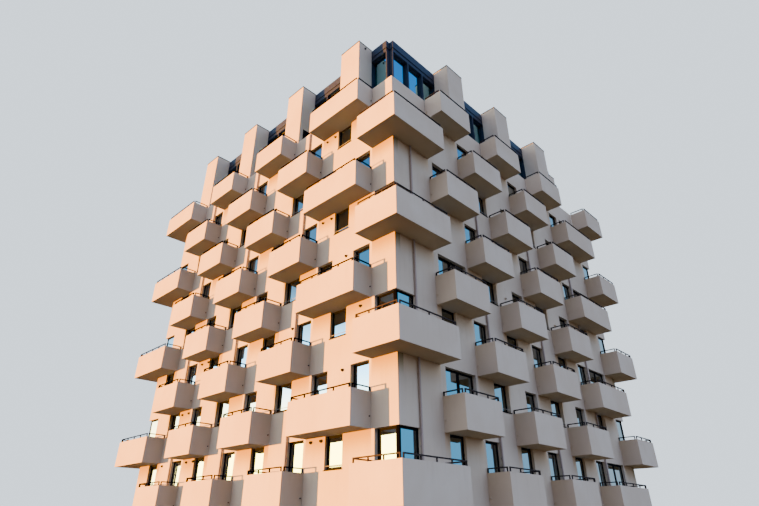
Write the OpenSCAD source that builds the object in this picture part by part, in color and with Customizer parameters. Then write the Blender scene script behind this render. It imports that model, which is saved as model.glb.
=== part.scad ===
// Apartment block, square in plan, ringed by staggered balcony tubs.
// Units are millimetres, Z is up and the ground is at Z = 0. The middle of the plan is the origin.
// The front looks towards -Y and the right side towards +X.
// Each face is divided, from its left end seen from outside, into regular bays, one wide bay
// and one short bay. A storey's tubs stand before every second bay, and the next storey's tubs
// stand before the bays between. At two corners of each storey a tub wraps round the corner.

/* [Plan] */
// Width of a regular bay, and of its tub
bay_w = 2780; // [2500:20:3200]
// Width of the wide bay near the right end of each face
wide_bay_w = 4100; // [3400:20:4600]
// Width of the short bay at the right end of each face
short_bay_w = 1490; // [1450:10:1900]
// Thickness of the outer walls
wall_t = 350; // [250:10:450]

/* [Storeys] */
// Height from one floor to the next
storey_h = 2800; // [2600:20:3200]
// Thickness of a floor slab
floor_t = 250; // [180:10:320]
// Thickness of the ground slab
ground_slab_t = 200; // [150:10:400]

/* [Windows and doors] */
// Clear width of a balcony door, of half a double one and of a ground-storey window
opening_w = 1150; // [900:10:1250]
// Distance from the end of a bay to the nearest door or wide window
opening_inset = 140; // [80:10:200]
// Clear width of a window between the tubs of an even storey
wide_window_w = 1300; // [1000:10:1400]
// Clear width of a window between the tubs of an odd storey
narrow_window_w = 1100; // [900:10:1200]
// Distance from the end of a bay to the nearest narrow window
narrow_window_inset = 350; // [200:10:450]
// Width of a glazed corner's pane on the front and back
front_corner_pane_w = 1310; // [900:10:1400]
// Width of a glazed corner's pane on the right and left sides
side_corner_pane_w = 1230; // [900:10:1400]
// Height of a window sill above the underside of the storey's slab
sill_z = 1450; // [1350:10:1700]
// Clear width of an entrance
entrance_w = 2200; // [1600:20:2400]

/* [Balcony tubs] */
// How far a tub stands out from the wall
tub_d = 1150; // [900:10:1400]
// Height of a tub from its underside to the top of its parapet
tub_h = 1450; // [1300:10:1600]
// Thickness of a tub's parapet
tub_wall_t = 120; // [90:5:160]
// Thickness of a tub's floor
tub_floor_t = 200; // [150:10:240]
// Gap at each end of a tub to the line of its bay
tub_gap = 14; // [5:1:40]

/* [Handrails] */
// Height of a handrail above the parapet that carries it
rail_h = 200; // [120:10:300]
// Width and thickness of a handrail's square bar
rail_bar = 50; // [25:5:70]
// Distance from the corner of a parapet's centre lines to the handrails on both sides of it
rail_corner_gap = 60; // [50:5:250]
// Distance from the wall to the end of a handrail
rail_wall_gap = 20; // [10:5:100]
// Largest distance between two posts of a handrail
rail_post_step = 1000; // [600:50:1400]

/* [Downpipes] */
// Outer diameter of a downpipe
pipe_od = 100; // [70:5:130]
// Clear distance from a downpipe to the wall
pipe_wall_gap = 20; // [10:5:60]
// Distance from the edge of a door to the middle of the downpipe that stands beside it
pipe_jamb_offset = 20; // [10:5:90]
// Clear distance round a downpipe where it goes through a tub's floor
pipe_hole_gap = 6; // [4:1:20]
// Height and width of the brackets that hold a downpipe to the wall
pipe_bracket = 60; // [30:5:80]
// Height of the brackets above each storey's slab underside
pipe_bracket_z = 2100; // [1600:50:2400]
// Height of a downpipe's upper bend above the underside of the slab where it ends
pipe_bend_z = 1280; // [600:20:1280]

/* [Top storeys] */
// Distance from the outer wall to the front of the top storeys
setback = 1100; // [900:20:1600]
// Size of the square notch at each corner of the top storeys
corner_notch = 290; // [150:10:400]
// Height of the roof's upper edge above the highest tub floor's underside
roof_top_z = 6300; // [6000:20:7200]
// Height of the roof's outer band
fascia_h = 600; // [400:10:800]
// Thickness of the roof's outer band
fascia_t = 150; // [80:10:250]
// Height of the beam under the roof's outer band
header_h = 300; // [200:10:400]
// Distance from the roof's outer band to the front of the beam and posts below it
header_recess = 40; // [10:5:100]
// Depth of the top storeys' posts and beam
post_d = 400; // [250:10:500]
// Width of a post
post_w = 90; // [60:5:150]
// Number of glazed bays on each face of the top storeys
glazed_bays = 14; // [10:1:16]
// Thickness of the roof slab
roof_slab_t = 250; // [180:10:320]
// How far a chimney-like pier rises above the roof's upper edge
pier_rise = 30; // [0:10:300]
// Thickness of a pier's metal cap
cap_t = 60; // [15:5:100]
// How far a cap stands out beyond its pier
cap_lip = 15; // [5:5:40]
// Thickness of a pier's own walls
pier_wall_t = 180; // [120:10:260]

/* [Hidden] */

render_colour = [0.90, 0.75, 0.62];
slab_colour = [0.72, 0.62, 0.54];
metal_colour = [0.20, 0.19, 0.21];
rail_colour = [0.13, 0.12, 0.12];
pipe_colour = [0.45, 0.36, 0.32];

tub_storeys = 8;
bays = 8;
faces = 4;
eps = 1;

face_w = 6 * bay_w + wide_bay_w + short_bay_w;
half_w = face_w / 2;
pier_w = bay_w - opening_w;
top_z = tub_storeys * storey_h;
roof_z = top_z + roof_top_z;
header_z = roof_z - fascia_h - header_h;
set_w = face_w - 2 * setback;
glass_line = setback + header_recess + post_d;
glazed_w = set_w - 2 * corner_notch;

// Where bay b begins and how wide it is, measured along a face from its left end.
function bay_x(b) = b < bays - 1 ? b * bay_w : face_w - short_bay_w;
function bay_width(b) = b < bays - 2 ? bay_w : b < bays - 1 ? wide_bay_w : short_bay_w;

// On a storey a face has its tubs before the even bays, or before the odd ones.
function tubs_even(face, storey) = (face + storey) % 2 == 0;
function has_tub(face, storey, b) = (b % 2 == 0) == tubs_even(face, storey);

// The right and left sides have some double doors; the front and back have single ones.
function wide_face(face) = face % 2 == 1;
function corner_pane_w(face) = wide_face(face) ? side_corner_pane_w : front_corner_pane_w;

// Windows between the tubs are wide on even storeys and narrow on odd ones, where they keep
// farther from the end of their bay. The last bay's window on the sides is as wide as a door.
function window_w(storey, b) =
    storey % 2 == 1 ? narrow_window_w
    : b < bays - 2 ? wide_window_w
    : opening_w;
function window_inset(storey) = storey % 2 == 1 ? narrow_window_inset : opening_inset;

// Openings of a face on a storey, as [left edge, right edge, reaches the floor].
function from_left(b, inset, w, door) = [bay_x(b) + inset, bay_x(b) + inset + w, door];
function from_right(b, inset, w, door) = [
    bay_x(b) + bay_w - inset - w, bay_x(b) + bay_w - inset, door
];
function even_openings(face, storey) = [
    [0, corner_pane_w(face), true],
    for (b = [1:bays - 2])
        b % 2 == 0 ? from_left(b, opening_inset, opening_w, true)
        : from_left(b, window_inset(storey), window_w(storey, b), false),
    [
        bay_x(bays - 1) - opening_inset - opening_w * (wide_face(face) ? 2 : 1),
        bay_x(bays - 1) - opening_inset,
        true
    ]
];
function odd_openings(face, storey) = [
    for (b = [wide_face(face) ? 1 : 0:bays - 2])
        b % 2 == 0 ? from_right(b, window_inset(storey), window_w(storey, b), false)
        : from_right(b, opening_inset, opening_w * (wide_face(face) && b == 1 ? 2 : 1), true),
    [face_w - corner_pane_w(face), face_w, true]
];

// The ground storey has no tubs: it has windows, with an entrance in the middle of the front
// and of the back.
function ground_openings(face) = [
    for (b = [1:bays - 2])
        let (door = b == bays / 2 && !wide_face(face))
        [
            bay_x(b) + opening_inset,
            bay_x(b) + opening_inset + (door ? entrance_w : opening_w),
            door
        ]
];
function openings(face, storey) =
    storey == 0 ? ground_openings(face)
    : tubs_even(face, storey) ? even_openings(face, storey)
    : odd_openings(face, storey);

// Height of a storey's slab underside, and the top of that slab.
function storey_z(storey) = storey * storey_h;
function slab_top_z(storey) = storey == 0 ? ground_slab_t : storey_z(storey) + floor_t;

// Puts a face's own frame in place: X runs along the face from its left end, Y runs inwards
// from its outer surface.
module on_face(face) {
    rotate([0, 0, 90 * face])
        translate([-half_w, -half_w, 0])
            children();
}

// Masonry between the openings of one face on one storey. The front and back reach round both
// corners, and the right and left sides stand between them.
module wall_storey(face, storey) {
    list = openings(face, storey);
    z0 = slab_top_z(storey);
    z1 = storey_z(storey + 1);
    own_start = wide_face(face) ? wall_t : 0;
    own_end = wide_face(face) ? face_w - wall_t : face_w;
    edges = concat([own_start], [for (o = list) each [o[0], o[1]]], [own_end]);
    for (i = [0:2:len(edges) - 2]) {
        w = edges[i + 1] - edges[i];
        if (w > eps)
            on_face(face)
                translate([edges[i], 0, z0])
                    cube([w, wall_t, z1 - z0]);
    }
}

module wall(face) {
    color(render_colour)
        for (storey = [0:tub_storeys - 1])
            wall_storey(face, storey);
}

module front_wall() { wall(0); }
module right_wall() { wall(1); }
module back_wall() { wall(2); }
module left_wall() { wall(3); }

// Low walls that fill an opening from the floor up to its sill.
module sill_walls() {
    color(render_colour)
        for (storey = [0:tub_storeys - 1], face = [0:faces - 1], o = openings(face, storey))
            if (!o[2])
                on_face(face)
                    translate([o[0], 0, slab_top_z(storey)])
                        cube([
                            o[1] - o[0], wall_t,
                            storey_z(storey) + sill_z - slab_top_z(storey)
                        ]);
}

module ground_slab() {
    color(slab_colour)
        translate([-half_w, -half_w, 0])
            cube([face_w, face_w, ground_slab_t]);
}

module floor_slab(storey) {
    color(render_colour)
        translate([-half_w, -half_w, storey_z(storey)])
            cube([face_w, face_w, floor_t]);
}

module floor_1() { floor_slab(1); }
module floor_2() { floor_slab(2); }
module floor_3() { floor_slab(3); }
module floor_4() { floor_slab(4); }
module floor_5() { floor_slab(5); }
module floor_6() { floor_slab(6); }
module floor_7() { floor_slab(7); }
module floor_8() { floor_slab(8); }

// Downpipes stand beside the doors of the odd storeys' tubs: at the left edge of the door on
// the front and back, and at the right edge on the right and left sides. The first and last of
// the right and left sides are long ones, which run down to the ground through the tubs. Every
// other one is short: it comes out of the wall of a storey and stands on the tub below.
first_pipe_storey = 1;
last_pipe_storey = tub_storeys - 1;
function pipe_doors(face) =
    [for (o = openings(face, first_pipe_storey)) if (o[2] && o[1] < bay_x(bays - 1) - bay_w / 2) o];
function long_pipe(face, i) = wide_face(face) && (i == 0 || i == len(pipe_doors(face)) - 1);
function pipe_x(face, door) =
    wide_face(face) ? door[1] + pipe_jamb_offset : door[0] - pipe_jamb_offset;
function pipe_xs(face, long) = [
    for (i = [0:len(pipe_doors(face)) - 1])
        if (long_pipe(face, i) == long)
            pipe_x(face, pipe_doors(face)[i])
];
pipe_reach = pipe_wall_gap + pipe_od / 2;

module pipe_holes(face) {
    for (x = pipe_xs(face, true))
        translate([x, -pipe_reach, -eps])
            cylinder(h = tub_h + 2 * eps, d = pipe_od + 2 * pipe_hole_gap, $fn = 24);
}

// A straight tub in its face's frame, open at the top and towards the wall.
module straight_tub(x, w) {
    translate([x, 0, 0])
        difference() {
            translate([tub_gap, -tub_d, 0])
                cube([w - 2 * tub_gap, tub_d, tub_h]);
            translate([tub_gap + tub_wall_t, -tub_d + tub_wall_t, tub_floor_t])
                cube([w - 2 * tub_gap - 2 * tub_wall_t, tub_d, tub_h]);
        }
}

// Outline of a tub round a corner, drawn in by a distance from its outer sides.
module corner_outline(in) {
    polygon([
        [-tub_d + in, -tub_d + in],
        [bay_w - tub_gap - in, -tub_d + in],
        [bay_w - tub_gap - in, 0],
        [0, 0],
        [0, short_bay_w - tub_gap - in],
        [-tub_d + in, short_bay_w - tub_gap - in]
    ]);
}

// A tub that wraps round the left end of its face.
module corner_tub() {
    difference() {
        linear_extrude(height = tub_h)
            corner_outline(0);
        translate([0, 0, tub_floor_t])
            linear_extrude(height = tub_h)
                corner_outline(tub_wall_t);
    }
}

module storey_tubs(storey) {
    color(render_colour)
        for (face = [0:faces - 1])
            on_face(face)
                translate([0, 0, storey_z(storey)])
                    difference() {
                        union() {
                            if (tubs_even(face, storey))
                                corner_tub();
                            for (b = [1:bays - 2])
                                if (has_tub(face, storey, b))
                                    straight_tub(bay_x(b), bay_width(b));
                        }
                        if (storey % 2 == 1)
                            pipe_holes(face);
                    }
}

module tubs_1() { storey_tubs(1); }
module tubs_2() { storey_tubs(2); }
module tubs_3() { storey_tubs(3); }
module tubs_4() { storey_tubs(4); }
module tubs_5() { storey_tubs(5); }
module tubs_6() { storey_tubs(6); }
module tubs_7() { storey_tubs(7); }
module tubs_8() { storey_tubs(8); }

// A pipe on the Z axis with brackets at the given heights. Its upper end bends into the wall.
module downpipe(height, bracket_zs) {
    cylinder(h = height - pipe_reach, d = pipe_od, $fn = 24);
    translate([0, pipe_reach, height - pipe_reach])
        rotate([90, 0, -90])
            rotate_extrude(angle = 90, $fn = 24)
                translate([pipe_reach, 0])
                    circle(d = pipe_od, $fn = 24);
    for (z = bracket_zs)
        translate([-pipe_bracket / 2, 0, z])
            cube([pipe_bracket, pipe_reach, pipe_bracket]);
}

module long_downpipe() {
    downpipe(
        storey_z(last_pipe_storey) + pipe_bend_z,
        [for (storey = [0:last_pipe_storey - 1]) storey_z(storey) + pipe_bracket_z]
    );
}

module short_downpipe() {
    downpipe(storey_h - tub_floor_t + pipe_bend_z, [pipe_bracket_z - tub_floor_t]);
}

module downpipes() {
    color(pipe_colour)
        for (face = [0:faces - 1])
            on_face(face)
                translate([0, -pipe_reach, 0]) {
                    last = wide_face(face) ? last_pipe_storey - 2 : last_pipe_storey;
                    for (x = pipe_xs(face, true))
                        translate([x, 0, 0])
                            long_downpipe();
                    for (x = pipe_xs(face, false), storey = [first_pipe_storey:2:last])
                        translate([x, 0, storey_z(storey) + tub_floor_t])
                            short_downpipe();
                }
}

// One handrail along X: a bar on posts, its outline seen from the front.
module handrail(length) {
    spans = ceil((length - rail_bar) / rail_post_step);
    step = (length - rail_bar) / spans;
    translate([0, rail_bar / 2, 0])
        rotate([90, 0, 0])
            linear_extrude(height = rail_bar)
                union() {
                    translate([0, rail_h - rail_bar])
                        square([length, rail_bar]);
                    for (i = [0:spans])
                        translate([i * step, 0])
                            square([rail_bar, rail_h]);
                }
}

// A handrail on a parapet from one point to another, both on the parapet's centre line. It
// keeps its own distance from each of them.
module rail_along(x0, y0, x1, y1, start_gap, end_gap) {
    length = norm([x1 - x0, y1 - y0]);
    translate([x0, y0, tub_h])
        rotate([0, 0, atan2(y1 - y0, x1 - x0)])
            translate([start_gap, 0, 0])
                handrail(length - start_gap - end_gap);
}

module straight_tub_rails(x, w) {
    mid = tub_wall_t / 2;
    left = x + tub_gap + mid;
    right = x + w - tub_gap - mid;
    front = -tub_d + mid;
    rail_along(left, front, right, front, rail_corner_gap, rail_corner_gap);
    rail_along(left, 0, left, front, rail_wall_gap, rail_corner_gap);
    rail_along(right, front, right, 0, rail_corner_gap, rail_wall_gap);
}

module corner_tub_rails() {
    mid = tub_wall_t / 2;
    out = -tub_d + mid;
    right = bay_w - tub_gap - mid;
    back = short_bay_w - tub_gap - mid;
    rail_along(out, out, right, out, rail_corner_gap, rail_corner_gap);
    rail_along(right, out, right, 0, rail_corner_gap, rail_wall_gap);
    rail_along(out, back, out, out, rail_corner_gap, rail_corner_gap);
    rail_along(0, back, out, back, rail_wall_gap, rail_corner_gap);
}

module handrails(face) {
    color(rail_colour)
        for (storey = [1:tub_storeys])
            on_face(face)
                translate([0, 0, storey_z(storey)]) {
                    if (tubs_even(face, storey))
                        corner_tub_rails();
                    for (b = [1:bays - 2])
                        if (has_tub(face, storey, b))
                            straight_tub_rails(bay_x(b), bay_width(b));
                }
}

module front_handrails() { handrails(0); }
module right_handrails() { handrails(1); }
module back_handrails() { handrails(2); }
module left_handrails() { handrails(3); }

// Piers that rise from the highest tub storey past the roof. Each stands in the wall's plane,
// between a tub's door below and the next window, and reaches back to the top storeys.
function pier_openings(face) =
    [for (o = openings(face, tub_storeys)) if (o[2] && o[1] < bay_x(bays - 1) - opening_inset) o];
function pier_span(o) = [o[1], o[1] + pier_w];

// Parapet of the terrace, before the bays that have no tub on the highest storey.
module parapet_run(face, x0, x1) {
    on_face(face)
        translate([x0, 0, top_z + floor_t])
            cube([x1 - x0, wall_t, tub_h - floor_t]);
}

module terrace_parapet() {
    color(render_colour)
        for (face = [0:faces - 1], b = [0:bays - 1])
            if (!has_tub(face, tub_storeys, b)) {
                end = bay_x(b) + bay_width(b);
                pier_ends = [for (o = pier_openings(face)) pier_span(o)[1]];
                inside = [for (x = pier_ends) if (x > bay_x(b) && x < end) x];
                start = len(inside) > 0 ? inside[0] : bay_x(b);
                parapet_run(face, b == 0 ? wall_t : start, end);
            }
}

module roof_piers() {
    color(render_colour)
        for (face = [0:faces - 1], o = pier_openings(face))
            on_face(face)
                translate([pier_span(o)[0], 0, top_z + floor_t])
                    difference() {
                        cube([pier_w, setback, roof_top_z + pier_rise - floor_t]);
                        translate([pier_wall_t, pier_wall_t, -eps])
                            cube([
                                pier_w - 2 * pier_wall_t,
                                setback - 2 * pier_wall_t,
                                roof_top_z + pier_rise
                            ]);
                    }
}

module roof_pier_caps() {
    color(metal_colour)
        for (face = [0:faces - 1], o = pier_openings(face))
            on_face(face)
                translate([pier_span(o)[0] - cap_lip, -cap_lip, roof_z + pier_rise])
                    cube([pier_w + 2 * cap_lip, setback + 2 * cap_lip, cap_t]);
}

// Square outline of the top storeys, notched at its corners, drawn in by a distance.
module notched_square(in) {
    half = set_w / 2 - in;
    difference() {
        square([2 * half, 2 * half], center = true);
        for (sx = [-1, 1], sy = [-1, 1])
            translate([sx * half, sy * half])
                square([2 * corner_notch, 2 * corner_notch], center = true);
    }
}

module roof_fascia() {
    color(metal_colour)
        translate([0, 0, roof_z - fascia_h])
            linear_extrude(height = fascia_h)
                difference() {
                    notched_square(0);
                    notched_square(fascia_t);
                }
}

module roof_slab() {
    color(slab_colour)
        translate([0, 0, roof_z - fascia_h])
            linear_extrude(height = roof_slab_t)
                notched_square(fascia_t);
}

module top_beam() {
    color(metal_colour)
        translate([0, 0, header_z])
            linear_extrude(height = header_h)
                difference() {
                    notched_square(header_recess);
                    notched_square(header_recess + post_d);
                }
}

// Posts of the top storeys, at the ends of their glazed bays.
module top_posts() {
    first = setback + corner_notch;
    step = (glazed_w - post_w) / glazed_bays;
    color(metal_colour)
        for (face = [0:faces - 1], i = [0:glazed_bays])
            on_face(face)
                translate([first + i * step, setback + header_recess, top_z + floor_t])
                    cube([post_w, post_d, header_z - top_z - floor_t]);
}

module top_floor() {
    size = face_w - 2 * glass_line;
    color(slab_colour)
        translate([-size / 2, -size / 2, storey_z(tub_storeys + 1)])
            cube([size, size, floor_t]);
}

ground_slab();
front_wall();
right_wall();
back_wall();
left_wall();
sill_walls();
floor_1();
floor_2();
floor_3();
floor_4();
floor_5();
floor_6();
floor_7();
floor_8();
tubs_1();
tubs_2();
tubs_3();
tubs_4();
tubs_5();
tubs_6();
tubs_7();
tubs_8();
terrace_parapet();
roof_piers();
roof_pier_caps();
top_floor();
top_posts();
top_beam();
roof_slab();
roof_fascia();
downpipes();
front_handrails();
right_handrails();
back_handrails();
left_handrails();
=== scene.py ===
"""Looks of the apartment block with staggered balcony tubs.

The walls, tubs, piers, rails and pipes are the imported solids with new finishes. The windows,
balcony doors, corner glazing, top glazing, sills, guard bars, vents, spouts, pier fittings and
pipe collars are made here.

Sizes are in metres. Each face has its own frame: u runs along the face from its left end seen
from outside, v runs inwards from its outer surface, and z is up. Faces 0 to 3 are the front,
right, back and left ones.
"""
import math

import bpy
import numpy as np
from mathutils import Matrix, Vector


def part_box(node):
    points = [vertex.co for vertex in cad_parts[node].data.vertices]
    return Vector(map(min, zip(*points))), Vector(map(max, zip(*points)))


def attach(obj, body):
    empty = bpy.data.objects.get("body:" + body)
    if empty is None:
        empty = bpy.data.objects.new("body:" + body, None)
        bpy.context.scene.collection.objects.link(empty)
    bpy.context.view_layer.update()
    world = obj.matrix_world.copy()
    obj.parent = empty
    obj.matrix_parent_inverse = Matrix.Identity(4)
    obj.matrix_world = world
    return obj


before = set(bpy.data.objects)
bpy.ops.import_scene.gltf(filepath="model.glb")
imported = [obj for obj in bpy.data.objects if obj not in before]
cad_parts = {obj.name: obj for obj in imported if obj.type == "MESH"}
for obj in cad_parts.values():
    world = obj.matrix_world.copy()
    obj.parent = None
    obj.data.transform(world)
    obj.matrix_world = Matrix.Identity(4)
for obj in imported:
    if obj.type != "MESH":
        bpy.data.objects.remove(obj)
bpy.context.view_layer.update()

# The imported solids' own box, measured before any piece is added
FACES = ("front", "right", "back", "left")

# Draws the slight tilt of each pane
random = np.random.default_rng(11)

# Heights and widths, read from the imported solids
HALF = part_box("ground_slab")[1].x
FACE = 2 * HALF
GROUND_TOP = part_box("ground_slab")[1].z
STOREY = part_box("floor_2")[0].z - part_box("floor_1")[0].z
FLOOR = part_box("floor_1")[1].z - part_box("floor_1")[0].z
TUB_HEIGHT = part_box("tubs_1")[1].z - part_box("tubs_1")[0].z
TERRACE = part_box("floor_8")[0].z
HEADER_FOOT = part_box("top_beam")[0].z
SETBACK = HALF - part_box("roof_fascia")[1].x
POST_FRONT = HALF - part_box("top_posts")[1].x
GLASS_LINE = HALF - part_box("top_floor")[1].x
TOP_FLOOR_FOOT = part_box("top_floor")[0].z
TOP_FLOOR_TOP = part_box("top_floor")[1].z
TUB_STOREYS = round(TERRACE / STOREY)

# Driving sizes: bays and openings, tubs, downpipes and the glazed top
BAY = 2.78
SHORT_BAY = 1.49
BAYS = 8
OPENING = 1.15
INSET = 0.14
WIDE_WINDOW = 1.30
NARROW_WINDOW = 1.10
NARROW_WINDOW_INSET = 0.35
FRONT_CORNER_PANE = 1.31
SIDE_CORNER_PANE = 1.23
SILL = 1.45
ENTRANCE = 2.20
TUB_GAP = 0.014
TUB_FLOOR = 0.20
PIPE_RADIUS = 0.05
PIPE_WALL_GAP = 0.02
PIPE_JAMB_OFFSET = 0.02
CORNER_NOTCH = 0.29
POST_WIDTH = 0.09
GLAZED_BAYS = 14

# How far frames stand behind the wall's surface, or behind the posts at the top
EVEN_RECESS = 0.195
ODD_RECESS = 0.13
CORNER_RECESS = 0.10
DEEP_CORNER_RECESS = 0.165
TOP_RECESS = 0.18

# Frames and panes
FRAME_DEPTH = 0.07
FRAME_WIDTH = 0.105
TOP_FRAME_WIDTH = 0.042
CORNER_POST = 0.13
CORNER_COVER = 0.015
# The narrow dark panel beside some corner leaves is painted shade: it stands in for the jamb's
# shadow and the shaded reveal mirrored in the glass
CORNER_SHADE_PANEL = 0.09
CORNER_SHADE_PANEL_STEP = 0.012
GLASS_HIDDEN = 0.012
GLASS_BACK = 0.024
TOP_GLASS_BACK = 0.034
GLASS_THICK = 0.024
GLASS_BOW = 0.0012
PANE_TILT = 0.0025
PANE_COLUMNS = 5
PANE_ROWS = 7

# Sills, guard bars and door handles
SILL_THICK = 0.02
SILL_NOSE = 0.035
SILL_NOSE_HEIGHT = 0.032
SILL_UNDER_FRAME = 0.01
BAR_RISE = 0.15
BAR_RADIUS = 0.014
BAR_BEHIND = 0.045
DOOR_SILL_BEHIND = 0.02
DOOR_SILL_THICK = 0.03
HANDLE_HEIGHT = 1.02
HANDLE_FROM_JAMB = 0.05
LEVER_OUT = 0.040
LEVER_LENGTH = 0.11
LEVER_RADIUS = 0.008


def bay_start(bay):
    """Where a bay begins along a face. The last one, the short bay, ends at the face's end."""
    return bay * BAY if bay < BAYS - 1 else FACE - SHORT_BAY


def tubs_even(face, storey):
    """On a storey, a face has its tubs before the even bays or before the odd ones."""
    return (face + storey) % 2 == 0


def is_wide(face):
    """The right and left faces have some double doors."""
    return face % 2 == 1


def corner_pane(face):
    """How far a glazed corner's opening reaches along a face."""
    return SIDE_CORNER_PANE if is_wide(face) else FRONT_CORNER_PANE


def window_size(storey, bay):
    """Width of a window between tubs, and its distance from the end of its bay."""
    if storey % 2 == 1:
        return NARROW_WINDOW, NARROW_WINDOW_INSET
    return (WIDE_WINDOW if bay < BAYS - 2 else OPENING), INSET


def even_openings(face, storey):
    """Openings, as (left edge, right edge, reaches the floor), where the tubs stand before the
    even bays: the glazed corner at the left end, doors behind tubs, two of them in the wide bay,
    and windows between the tubs."""
    made = [(0.0, corner_pane(face), True)]
    for b in range(1, BAYS - 1):
        width, inset = (OPENING, INSET) if b % 2 == 0 else window_size(storey, b)
        made.append((bay_start(b) + inset, bay_start(b) + inset + width, b % 2 == 0))
    last = bay_start(BAYS - 1) - INSET
    return made + [(last - OPENING * (2 if is_wide(face) else 1), last, True)]


def odd_openings(face, storey):
    """Openings where the tubs stand before the odd bays, placed from the right ends of bays,
    and the glazed corner at the right end."""
    made = []
    for b in range(1 if is_wide(face) else 0, BAYS - 1):
        door = (OPENING * (2 if is_wide(face) and b == 1 else 1), INSET)
        width, inset = door if b % 2 == 1 else window_size(storey, b)
        end = bay_start(b) + BAY - inset
        made.append((end - width, end, b % 2 == 1))
    return made + [(FACE - corner_pane(face), FACE, True)]


def ground_openings(face):
    """Openings of the ground storey: windows, and an entrance amid the front and the back."""
    made = []
    for b in range(1, BAYS - 1):
        door = b == BAYS // 2 and not is_wide(face)
        start = bay_start(b) + INSET
        made.append((start, start + (ENTRANCE if door else OPENING), door))
    return made


def openings(face, storey):
    """All openings of a face on a storey."""
    if storey == 0:
        return ground_openings(face)
    list_of = even_openings if tubs_even(face, storey) else odd_openings
    return list_of(face, storey)


def recess(storey):
    """How far a storey's window frames stand behind the wall's surface."""
    return ODD_RECESS if storey % 2 == 1 else EVEN_RECESS


def slab_top(storey):
    """Height of a storey's floor."""
    return GROUND_TOP if storey == 0 else storey * STOREY + FLOOR


def at_corner(opening):
    """Whether an opening runs on round the block's corner."""
    return opening[0] == 0.0 or opening[1] == FACE


def on_face(face, points):
    """Turns points (u, v, z) of a face's own frame into the block's frame: both lengths are
    measured from the middle of the plan, then turned by as many quarter turns as the face."""
    u, v = points[..., 0] - HALF, points[..., 1] - HALF
    cosine = np.array([1, 0, -1, 0])[face]
    sine = np.array([0, 1, 0, -1])[face]
    return np.stack([u * cosine - v * sine, u * sine + v * cosine, points[..., 2]], -1)


def repeated(faces, count, size):
    """The same faces for each of count shapes that have size points each."""
    faces = np.asarray(faces)
    return (faces[None] + size * np.arange(count)[:, None, None]).reshape(-1, faces.shape[1])


# Corners of a unit box, and its faces by their corners' numbers
BOX_CORNERS = np.array([[i, j, k] for k in (0, 1) for j in (0, 1) for i in (0, 1)])
BOX_QUADS = [[0, 2, 3, 1], [4, 5, 7, 6], [0, 1, 5, 4], [2, 6, 7, 3], [0, 4, 6, 2], [1, 3, 7, 5]]


def boxes(face, low, high):
    """Closed boxes. A corner lies at low + unit corner x (high - low), and face, low and high
    hold one row for each box."""
    face, low, high = np.asarray(face), np.asarray(low, float), np.asarray(high, float)
    points = low[:, None] + BOX_CORNERS * (high - low)[:, None]
    points = on_face(face[:, None], points)
    return points.reshape(-1, 3), [repeated(BOX_QUADS, len(low), len(BOX_CORNERS))]


def rings(face, rects, front, profile):
    """A profile carried round rectangles with mitred corners. A rect is (u0, u1, z0, z1), front
    is the v of its plane, and a profile point is (inset, depth): at a corner it lies inset
    inwards along u and along z, and depth behind the plane."""
    face, rects = np.asarray(face), np.asarray(rects, float)
    profile = np.asarray(profile, float)
    front = np.broadcast_to(np.asarray(front, float), face.shape)
    sign = np.array([[1, 1], [-1, 1], [-1, -1], [1, -1]])
    corner = np.stack([rects[:, [0, 2]], rects[:, [1, 2]], rects[:, [1, 3]], rects[:, [0, 3]]], 1)
    moved = corner[:, :, None] + sign[None, :, None] * profile[None, None, :, :1]
    depth = front[:, None, None] + np.broadcast_to(profile[None, None, :, 1], moved.shape[:3])
    points = np.stack([moved[..., 0], depth, moved[..., 1]], -1)
    size = len(profile)
    k, j = np.meshgrid(np.arange(4), np.arange(size), indexing="ij")
    after_k, after_j = (k + 1) % 4, (j + 1) % size
    quads = np.stack(
        [k * size + j, after_k * size + j, after_k * size + after_j, k * size + after_j], -1
    ).reshape(-1, 4)
    points = on_face(face[:, None, None], points)
    return points.reshape(-1, 3), [repeated(quads, len(rects), 4 * size)]


def panes(face, rects, front):
    """Sealed panes. Over a pane, s and t run from -1 to 1, and its outer sheet lies at
    v = front - bow (1 - s^2)(1 - t^2) + a slight tilt. Its inner sheet lies a thickness behind
    and is bowed the other way."""
    face, rects = np.asarray(face), np.asarray(rects, float)
    count = len(rects)
    front = np.broadcast_to(np.asarray(front, float), (count,))
    columns, rows = PANE_COLUMNS, PANE_ROWS
    s, t = np.meshgrid(np.linspace(-1, 1, columns), np.linspace(-1, 1, rows), indexing="ij")
    s, t = s.ravel(), t.ravel()
    tilt = random.uniform(-PANE_TILT, PANE_TILT, (2, count, 1))
    half_u = (rects[:, 1:2] - rects[:, 0:1]) / 2
    half_z = (rects[:, 3:4] - rects[:, 2:3]) / 2
    u = rects[:, 0:1] + half_u * (1 + s)
    z = rects[:, 2:3] + half_z * (1 + t)
    lean = tilt[0] * half_u * s + tilt[1] * half_z * t
    bow = GLASS_BOW * (1 - s**2) * (1 - t**2)
    outer = front[:, None] + lean - bow
    inner = front[:, None] + lean + GLASS_THICK + bow
    points = np.stack([np.stack([u, v, z], -1) for v in (outer, inner)], 1)
    i, j = np.meshgrid(np.arange(columns - 1), np.arange(rows - 1), indexing="ij")
    first = (i * rows + j).ravel()
    sheet = np.stack([first, first + rows, first + rows + 1, first + 1], -1)
    size = columns * rows
    rim = np.concatenate([
        np.arange(columns) * rows,
        (columns - 1) * rows + np.arange(1, rows),
        np.arange(columns - 2, -1, -1) * rows + rows - 1,
        np.arange(rows - 2, 0, -1),
    ])
    after = np.roll(rim, -1)
    edge = np.stack([rim, rim + size, after + size, after], -1)
    quads = np.concatenate([sheet, sheet[:, ::-1] + size, edge])
    points = on_face(face[:, None, None], points)
    return points.reshape(-1, 3), [repeated(quads, count, 2 * size)]


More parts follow.
